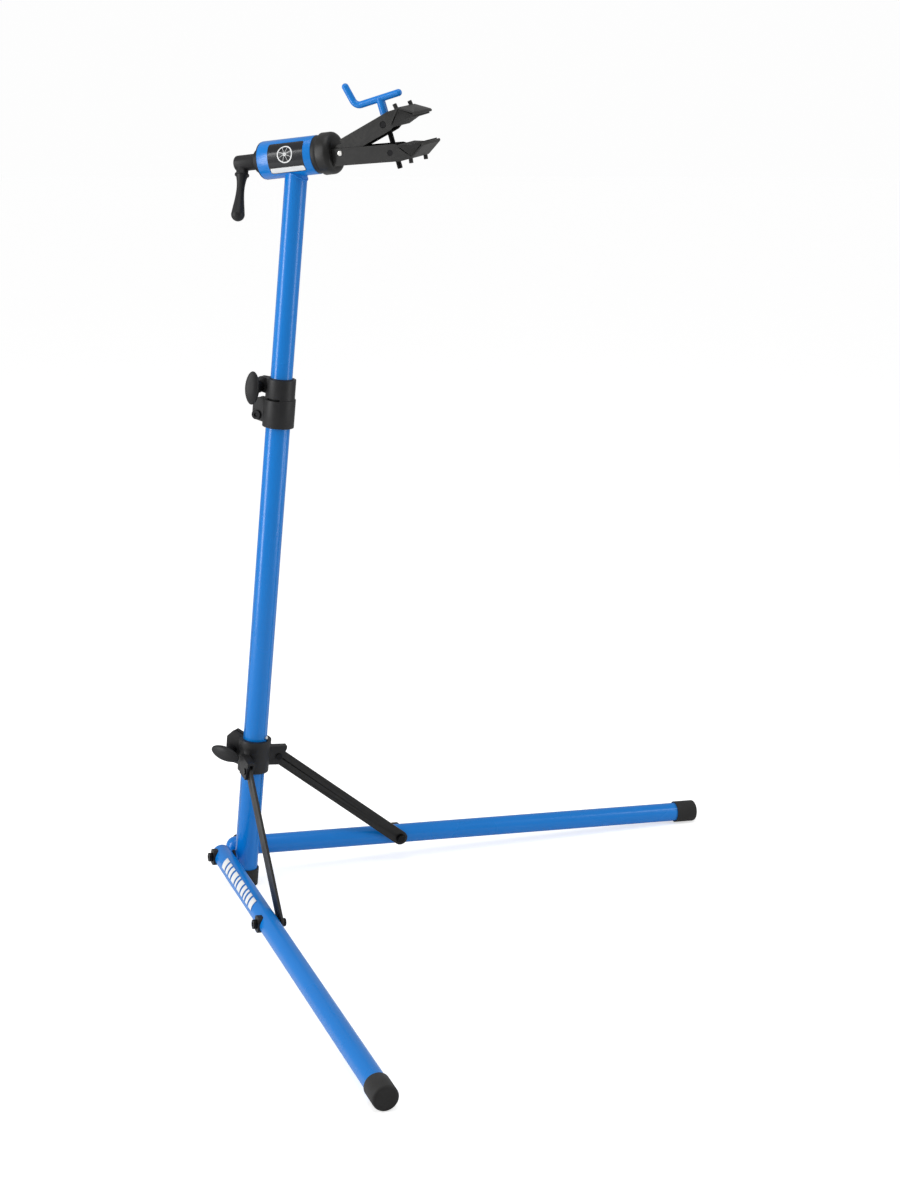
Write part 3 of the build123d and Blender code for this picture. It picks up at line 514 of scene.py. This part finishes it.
def steel_finish(look, name, values, rough_low, rough_high):
    """Turned steel with fine marks and uneven plating."""
    def build(tree):
        marks = place(tree, "Fine Scratches", {"Amount": 0.4, "Scale": 120.0})["Mask"]
        grain = place(tree, "Moulded Grain", {"Scale": 2000.0, "Depth": 0.01 * MM})
        metal = shaded(tree, values, 0.12, grain["Shade"])
        metal, dust = dusted(tree, look, metal)
        rough = roughened(tree, ramp(tree, grain["Shade"], 0.0, 1.0, rough_low, rough_high), marks, 0.15)
        cut = maths(tree, "MULTIPLY", marks, 0.02 * MM)
        height = maths(tree, "SUBTRACT", grain["Height"], cut)
        shine = maths(tree, "SUBTRACT", 1.0, dust)
        return {"Base Color": metal, "Roughness": rough, "Metallic": shine, "Normal": bump(tree, height)}

    finish(name, {}, build)


def print_finish(look, name, values, rough_low, rough_high):
    """Ink or film with a smooth face and faint handling marks."""
    def build(tree):
        flow = place(tree, "Paint Flow", {"Scale": 800.0, "Depth": 0.01 * MM})
        scratches = place(tree, "Fine Scratches", {"Amount": look.wear, "Scale": 75.0})["Mask"]
        ink = shaded(tree, values, 0.04, flow["Shade"])
        ink, dust = dusted(tree, look, ink, 0.5)
        rough = roughened(tree, ramp(tree, flow["Shade"], 0.3, 0.7, rough_low, rough_high), scratches, 0.25)
        return {"Base Color": ink, "Roughness": rough, "Normal": bump(tree, flow["Height"])}

    finish(name, {"IOR": 1.48}, build)


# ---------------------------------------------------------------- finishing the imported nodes
class STAND_OT_finishes(bpy.types.Operator):
    """Build the shared effects and every finish"""

    bl_idname = "stand.finishes"
    bl_label = "Finishes"
    bl_options = {"REGISTER", "UNDO"}

    def execute(self, context):
        look = context.scene.stand_finishes
        build_groups()
        enamel_finish(look)
        jaw_finish(look)
        nylon_finish(look)
        rubber_finish(look)
        steel_finish(look, "black oxide", look.black_steel, 0.34, 0.48)
        steel_finish(look, "zinc plate", look.zinc, 0.22, 0.38)
        print_finish(look, "white ink", look.ink, 0.34, 0.44)
        print_finish(look, "label film", look.film, 0.16, 0.24)
        return {"FINISHED"}


class STAND_OT_tubes(bpy.types.Operator):
    """Finish the enamelled tubes and the cranked handle"""

    bl_idname = "stand.tubes"
    bl_label = "Tubes"
    bl_options = {"REGISTER", "UNDO"}

    def execute(self, context):
        coat(ENAMELLED, "blue enamel")
        soften(CUT_TUBES, context.scene.stand_pieces.tube_round)
        return {"FINISHED"}


class STAND_OT_jaws(bpy.types.Operator):
    """Finish the jaws, the disc and the braces"""

    bl_idname = "stand.jaws"
    bl_label = "Jaws and braces"
    bl_options = {"REGISTER", "UNDO"}

    def execute(self, context):
        coat(JAW_METAL, "black enamel")
        soften(JAW_METAL, context.scene.stand_pieces.metal_round)
        return {"FINISHED"}


class STAND_OT_mouldings(bpy.types.Operator):
    """Finish the moulded collars, bushes, saddles and lever"""

    bl_idname = "stand.mouldings"
    bl_label = "Mouldings"
    bl_options = {"REGISTER", "UNDO"}

    def execute(self, context):
        coat(MOULDED, "black nylon")
        soften(MOULDED, context.scene.stand_pieces.edge_round)
        return {"FINISHED"}


class STAND_OT_rubber(bpy.types.Operator):
    """Finish the rubber caps, foot and jaw pads"""

    bl_idname = "stand.rubber"
    bl_label = "Rubber"
    bl_options = {"REGISTER", "UNDO"}

    def execute(self, context):
        coat(RUBBER, "black rubber")
        soften(RUBBER, context.scene.stand_pieces.rubber_round)
        return {"FINISHED"}


class STAND_OT_fasteners(bpy.types.Operator):
    """Finish the screws, nuts, pins and trunnions"""

    bl_idname = "stand.fasteners"
    bl_label = "Fasteners"
    bl_options = {"REGISTER", "UNDO"}

    def execute(self, context):
        coat(BLACK_FASTENERS, "black oxide")
        coat(BRIGHT_FASTENERS, "zinc plate")
        soften(BLACK_FASTENERS + BRIGHT_FASTENERS, context.scene.stand_pieces.fastener_round)
        return {"FINISHED"}


# ---------------------------------------------------------------- screw, knobs and weld
class STAND_OT_jaw_screw(bpy.types.Operator):
    """Make the jaw screw with its real thread"""

    bl_idname = "stand.jaw_screw"
    bl_label = "Jaw screw"
    bl_options = {"REGISTER", "UNDO"}

    def execute(self, context):
        sizes = context.scene.stand_pieces
        origin, along = joint_line("handle_turn")
        low, high = reach("threaded_rod", origin, along)
        crest = outer_radius("threaded_rod", origin, along)
        local = placement(origin, along, Vector((1, 0, 0)))
        pitch = sizes.thread_lead / sizes.thread_starts
        sides, steps_per_pitch = 36, 6
        steps = round((high - low) / (pitch / steps_per_pitch))
        rows = []
        for step in range(steps + 1):
            height = low + (high - low) * step / steps
            end_fade = min(1.0, (height - low) / pitch, (high - height) / pitch)
            radii = []
            for side in range(sides):
                phase = (height / pitch - sizes.thread_starts * side / sides) % 1.0
                radii.append(crest - sizes.thread_depth * (1.0 - self.tooth(phase) * end_fade))
            rows.append(ring(local, radii, height))
        mesh = grid_mesh("jaw_screw", rows, closed=True)
        piece("jaw_screw", mesh, "jaw_handle", "black oxide", ("threaded_rod",))
        return {"FINISHED"}

    def tooth(self, phase):
        """Height of the thread across one pitch, from 0 at its root to 1 on its flat crest."""
        flank_slope = 3.2
        return min(1.0, max(0.0, flank_slope * (0.5 - abs(phase - 0.5))))


class STAND_OT_knobs(bpy.types.Operator):
    """Make the two oval knobs as full, soft mouldings"""

    bl_idname = "stand.knobs"
    bl_label = "Knobs"
    bl_options = {"REGISTER", "UNDO"}

    def execute(self, context):
        for title in ("collar", "height"):
            self.knob(title, context.scene.stand_pieces)
        return {"FINISHED"}

    def knob(self, title, sizes):
        """One knob on its hub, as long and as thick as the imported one."""
        node = f"{title}_knob"
        origin, outwards = joint_line(f"{title}_knob_turn")
        back, front = reach(node, origin, outwards)
        spokes = [point - origin - outwards * (point - origin).dot(outwards) for point in points_of(node)]
        long_way = max(spokes, key=lambda spoke: spoke.length)
        local = placement(origin, outwards, long_way)
        half_wide = max(abs(spoke.dot(local.col[1].to_3d())) for spoke in spokes)
        paddle_back = back + (front - back) * 0.52
        hub = half_wide * 0.80
        sides = 72
        rows = self.hub_rows(local, hub, back, paddle_back, sides)
        rows += self.paddle_rows(
            local, hub, (long_way.length, half_wide), (paddle_back, front), sizes.paddle_tip, sides
        )
        mesh = grid_mesh(f"{title}_paddle", rows, closed=True)
        piece(f"{title}_paddle", mesh, f"{title}_knob", "black nylon", (node,))

    def hub_rows(self, local, hub, back, paddle_back, sides):
        """The hub: a softened back edge, then a slightly drawn-in side up to the paddle."""
        edge, draw = 0.6 * MM, 0.96
        stations = [(hub * 0.55, back), (hub * 0.92, back), (hub, back + edge)]
        stations += [(hub * draw, back + (paddle_back - back) * rise) for rise in (0.3, 0.6, 0.95)]
        return [ring(local, [radius] * sides, height) for radius, height in stations]

    def paddle_rows(self, local, hub, halves, ends, tip, sides):
        """The oval paddle: full edges, thinner at its tips, and no narrower than the hub behind."""
        half_long, half_wide = halves
        middle, half_thick = (ends[0] + ends[1]) / 2, (ends[1] - ends[0]) / 2
        bands, fullness = 14, 0.55
        rows = []
        for band in range(1, 2 * bands):
            lift = math.pi * (band / (2 * bands) - 0.5)
            spread = math.cos(lift) ** fullness
            row = []
            for side in range(sides):
                turn = math.tau * side / sides
                x = half_long * spread * math.cos(turn)
                y = half_wide * spread * math.sin(turn)
                thin = 1.0 - (1.0 - tip) * (x / half_long) ** 2
                z = middle + half_thick * math.sin(lift) * thin
                from_axis = math.hypot(x, y)
                if band < bands and from_axis < hub:
                    x, y = x * hub / from_axis, y * hub / from_axis
                row.append(local @ Vector((x, y, z)))
            rows.append(row)
        return rows


class STAND_OT_weld(bpy.types.Operator):
    """Lay the weld bead where the upper tube meets the head tube"""

    bl_idname = "stand.weld"
    bl_label = "Weld bead"
    bl_options = {"REGISTER", "UNDO"}

    def execute(self, context):
        sizes = context.scene.stand_pieces
        centre, mast_way = joint_line("mast_turn")
        head_way = joint_line("clamp_turn")[1]
        tube_radius = outer_radius("upper_tube", centre, mast_way)
        head_radius = outer_radius("head_tube", centre, head_way)
        local = placement(centre, mast_way, head_way)
        sideways = local.col[1].to_3d()
        tilt = mast_way.dot(head_way)
        points_per_ripple = 6
        count = sizes.bead_ripples * points_per_ripple
        line = []
        for step in range(count):
            turn = math.tau * step / count
            across = local.to_3x3() @ Vector((math.cos(turn), math.sin(turn), 0.0)) * tube_radius
            drop = math.sqrt(head_radius ** 2 - across.dot(sideways) ** 2)
            down = (drop + across.dot(head_way) * tilt) / math.sqrt(1 - tilt ** 2)
            line.append(centre + across - mast_way * down)
        mesh = grid_mesh("head_weld", self.bead_rows(line, sizes))
        piece("head_weld", mesh, "upper_mast", "blue enamel")
        return {"FINISHED"}

    def bead_rows(self, line, sizes):
        """Rows of a rippled round bead along a closed line."""
        sides, ripple = 10, 0.13
        count = len(line)
        rows = []
        for step in range(count + 1):
            onward = (line[(step + 1) % count] - line[(step - 1) % count]).normalized()
            local = placement(line[step % count], onward, Vector((0, 0, 1)))
            swell = 1.0 + ripple * math.cos(math.tau * sizes.bead_ripples * step / count)
            row = ring(local, [sizes.bead_radius * swell] * sides, 0.0)
            rows.append(row + row[:1])
        return rows


# ---------------------------------------------------------------- printed pieces
def wrapped(local, radius, cells):
    """Rows of (along, around) pairs laid on a cylinder round the placement's z axis."""
    rows = []
    for row in cells:
        rows.append([
            local @ Vector((radius * math.cos(around / radius), radius * math.sin(around / radius), along))
            for along, around in row
        ])
    return rows


def rounded_cells(half_along, low, high, corner):
    """Cells of a rectangle with rounded corners, from low to high round the tube."""
    steps, parts = 28, 16
    cells = []
    for step in range(steps + 1):
        ease = 0.5 - 0.5 * math.cos(math.pi * step / steps)
        along = half_along * (2 * ease - 1)
        inset = max(0.0, abs(along) - (half_along - corner))
        cut = corner - math.sqrt(max(0.0, corner ** 2 - inset ** 2))
        bottom, top = low + cut, high - cut
        cells.append([(along, bottom + (top - bottom) * part / parts) for part in range(parts + 1)])
    return cells


class STAND_OT_label(bpy.types.Operator):
    """Wrap the plain label, with its printed wheel, round the head tube"""

    bl_idname = "stand.label"
    bl_label = "Head label"
    bl_options = {"REGISTER", "UNDO"}

    def execute(self, context):
        sizes = context.scene.stand_pieces
        origin, along = joint_line("clamp_turn")
        mast_way = joint_line("mast_turn")[1]
        low, high = reach("label_panel", origin, along)
        radius = outer_radius("head_tube", origin, along)
        points = points_of("label_panel")
        outward = sum(points, Vector()) / len(points) - origin
        local = placement(origin + along * (low + high) / 2, along, outward)
        seen = [local.inverted() @ point for point in points]
        turns = [math.atan2(point.y, point.x) * radius for point in seen]
        upright = 1.0 if local.col[1].to_3d().dot(mast_way) > 0 else -1.0
        bottom, top = sorted((min(turns), max(turns)), reverse=upright < 0)
        half_along = (high - low) / 2
        panel = rounded_cells(half_along, min(turns), max(turns), sizes.label_corner)
        self.lay("head_label", local, radius + LABEL_LIFT, panel, "label film", ("label_panel",))
        strip_top = bottom + upright * sizes.strip_height
        ends = sorted((bottom + upright * STRIP_INSET, strip_top))
        strip = rounded_cells(half_along - STRIP_INSET, ends[0], ends[1], sizes.label_corner * 0.6)
        self.lay("label_strip", local, radius + STRIP_LIFT, strip, "white ink")
        self.wheel(local, radius + WHEEL_LIFT, (strip_top + top) / 2, sizes.wheel_radius)
        return {"FINISHED"}

    def lay(self, name, local, radius, cells, material, hides=()):
        """One sheet of the label, a little proud of the tube."""
        mesh = grid_mesh(name, wrapped(local, radius, cells))
        thicken(piece(name, mesh, "upper_mast", material, hides), LABEL_THICKNESS)

    def wheel(self, local, radius, centre, wheel):
        """A plain spoked wheel printed on the panel."""
        for name, outer, inner in (("wheel_rim", 1.0, 0.86), ("wheel_hub", 0.2, 0.06)):
            cells = self.band_cells(centre, wheel * inner, wheel * outer)
            self.lay(name, local, radius, cells, "white ink")
        spokes = 8
        for spoke in range(spokes):
            cells = self.spoke_cells(centre, wheel, math.tau * (spoke + 0.5) / spokes)
            self.lay(f"wheel_spoke_{spoke + 1}", local, radius, cells, "white ink")

    def band_cells(self, centre, inner, outer):
        """Cells of a flat ring."""
        steps, parts = 64, 3
        cells = []
        for step in range(steps + 1):
            turn = math.tau * step / steps
            reaches = [inner + (outer - inner) * part / parts for part in range(parts + 1)]
            cells.append([(out * math.cos(turn), centre + out * math.sin(turn)) for out in reaches])
        return cells

    def spoke_cells(self, centre, wheel, turn):
        """Cells of one straight spoke, from the hub into the rim."""
        start, run, half = 0.18, 0.70, wheel * 0.022
        steps = 8
        cells = []
        for step in range(steps + 1):
            out = wheel * (start + run * step / steps)
            cells.append([
                (
                    out * math.cos(turn) - aside * math.sin(turn),
                    centre + out * math.sin(turn) + aside * math.cos(turn),
                )
                for aside in (-half, half)
            ])
        return cells


class STAND_OT_leg_bars(bpy.types.Operator):
    """Print a row of slanted bars on the right leg"""

    bl_idname = "stand.leg_bars"
    bl_label = "Leg bars"
    bl_options = {"REGISTER", "UNDO"}

    def execute(self, context):
        sizes = context.scene.stand_pieces
        pivot, pivot_way = joint_line("leg_right_fold")
        far = max(points_of("leg_cap_right"), key=lambda point: (point - pivot).length)
        along = far - pivot
        along = (along - pivot_way * along.dot(pivot_way)).normalized()
        radius = outer_radius("leg_tube_right", pivot, along)
        outside = pivot_way if pivot_way.y < 0 else -pivot_way
        local = placement(pivot, along, outside + Vector((0, 0, BAR_UPTURN)))
        start = sizes.bars_start
        for number, width in enumerate(BAR_WIDTHS, 1):
            name = f"leg_bar_{number}"
            cells = self.bar_cells(start, width * MM, sizes)
            mesh = grid_mesh(name, wrapped(local, radius + BAR_LIFT, cells))
            thicken(piece(name, mesh, "leg_right", "white ink"), BAR_THICKNESS)
            start += width * MM + BAR_GAP
        return {"FINISHED"}

    def bar_cells(self, start, width, sizes):
        """Cells of one slanted bar."""
        steps, parts = 8, 12
        half = sizes.bar_height / 2
        skew = math.tan(sizes.bar_slant)
        cells = []
        for step in range(steps + 1):
            along = start + width * step / steps
            arounds = [half * (2 * part / parts - 1) for part in range(parts + 1)]
            cells.append([(along + skew * around, around) for around in arounds])
        return cells


# ---------------------------------------------------------------- stage
class STAND_OT_stage(bpy.types.Operator):
    """Lay the pale floor and set the camera and the soft lights"""

    bl_idname = "stand.stage"
    bl_label = "Stage"
    bl_options = {"REGISTER", "UNDO"}

    def execute(self, context):
        scene = context.scene
        studio = scene.stand_studio
        self.floor(scene, studio)
        self.camera(scene, studio)
        self.lights(scene, studio)
        self.surroundings(scene, studio)
        scene.view_settings.view_transform = "Standard"
        return {"FINISHED"}

    def floor(self, scene, studio):
        """A wide disc under the stand."""
        def build(tree):
            drift = noise(tree, 3.0, 3.0)
            seen = add(tree, "ShaderNodeLightPath").outputs["Is Camera Ray"]
            return {
                "Base Color": shaded(tree, studio.floor, 0.01, drift),
                "Roughness": ramp(tree, drift, 0.3, 0.7, 0.75, 0.85),
                "Emission Strength": maths(tree, "MULTIPLY", seen, studio.glow),
            }

        mesh = bmesh.new()
        bmesh.ops.create_circle(mesh, cap_ends=True, segments=96, radius=FLOOR_RADIUS)
        floor = bpy.data.objects.new("floor", to_data("floor", mesh))
        floor.data.materials.append(finish("pale floor", {"Emission Color": opaque(WHITE)}, build))
        scene.collection.objects.link(floor)

    def camera(self, scene, studio):
        """The camera, turned to its aim."""
        level = math.cos(studio.elevation)
        away = Vector((
            level * math.cos(studio.azimuth), level * math.sin(studio.azimuth), math.sin(studio.elevation)
        ))
        data = bpy.data.cameras.new("camera")
        data.sensor_fit = "VERTICAL"
        data.sensor_height = 36.0
        data.lens = studio.lens
        camera = bpy.data.objects.new("camera", data)
        camera.location = Vector(studio.aim) + away * studio.distance
        camera.rotation_euler = (-away).to_track_quat("-Z", "Y").to_euler()
        scene.collection.objects.link(camera)
        scene.camera = camera

    def lights(self, scene, studio):
        """Two tall soft boxes at the sides and one above, turned to the middle of the stand."""
        middle = Vector((0.1, 0.0, 0.7))
        boxes = (
            ("key_box", Vector((-1.9, -2.1, 1.3)), (0.8, 2.6), studio.key),
            ("fill_box", Vector((2.6, 0.6, 1.2)), (0.7, 2.4), studio.fill),
            ("top_box", Vector((0.3, -0.4, 3.0)), (1.8, 1.8), studio.top),
        )
        for name, spot, size, power in boxes:
            data = bpy.data.lights.new(name, "AREA")
            data.shape = "RECTANGLE"
            data.size, data.size_y = size
            data.energy = power
            light = bpy.data.objects.new(name, data)
            light.location = spot
            light.rotation_euler = (middle - spot).to_track_quat("-Z", "Y").to_euler()
            scene.collection.objects.link(light)

    def surroundings(self, scene, studio):
        """A white backdrop that lights the stand more gently than it looks."""
        world = bpy.data.worlds.new("studio")
        world.use_nodes = True
        tree = world.node_tree
        seen = add(tree, "ShaderNodeLightPath").outputs["Is Camera Ray"]
        strength = maths(tree, "MULTIPLY_ADD", seen, studio.backdrop - studio.sky, studio.sky)
        background = tree.nodes["Background"]
        background.inputs["Color"].default_value = opaque(WHITE)
        tree.links.new(strength, background.inputs["Strength"])
        scene.world = world


# ---------------------------------------------------------------- add-on
class VIEW3D_PT_stand(bpy.types.Panel):
    """The stand's steps, in order"""

    bl_label = "Repair Stand"
    bl_idname = "VIEW3D_PT_stand"
    bl_space_type = "VIEW_3D"
    bl_region_type = "UI"
    bl_category = "Repair Stand"

    def draw(self, context):
        column = self.layout.column(align=True)
        for operator in OPERATORS:
            column.operator(operator.bl_idname)
        for group_name in ("stand_finishes", "stand_pieces", "stand_studio"):
            box = self.layout.box()
            owner = getattr(context.scene, group_name)
            for title in owner.__annotations__:
                box.prop(owner, title)


OPERATORS = (
    STAND_OT_finishes,
    STAND_OT_tubes,
    STAND_OT_jaws,
    STAND_OT_mouldings,
    STAND_OT_rubber,
    STAND_OT_fasteners,
    STAND_OT_jaw_screw,
    STAND_OT_knobs,
    STAND_OT_weld,
    STAND_OT_label,
    STAND_OT_leg_bars,
    STAND_OT_stage,
)
CLASSES = (StandFinishes, StandPieces, StandStudio) + OPERATORS + (VIEW3D_PT_stand,)


def register():
    """Adds the add-on's classes and its three groups of settings."""
    for owner in CLASSES:
        bpy.utils.register_class(owner)
    bpy.types.Scene.stand_finishes = PointerProperty(type=StandFinishes)
    bpy.types.Scene.stand_pieces = PointerProperty(type=StandPieces)
    bpy.types.Scene.stand_studio = PointerProperty(type=StandStudio)


def unregister():
    """Takes them away again, last first."""
    del bpy.types.Scene.stand_studio
    del bpy.types.Scene.stand_pieces
    del bpy.types.Scene.stand_finishes
    for owner in reversed(CLASSES):
        bpy.utils.unregister_class(owner)


def main():
    """Registers the add-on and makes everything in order."""
    register()
    bpy.ops.stand.finishes()
    bpy.ops.stand.tubes()
    bpy.ops.stand.jaws()
    bpy.ops.stand.mouldings()
    bpy.ops.stand.rubber()
    bpy.ops.stand.fasteners()
    bpy.ops.stand.jaw_screw()
    bpy.ops.stand.knobs()
    bpy.ops.stand.weld()
    bpy.ops.stand.label()
    bpy.ops.stand.leg_bars()
    bpy.ops.stand.stage()


if __name__ == "__main__":
    main()
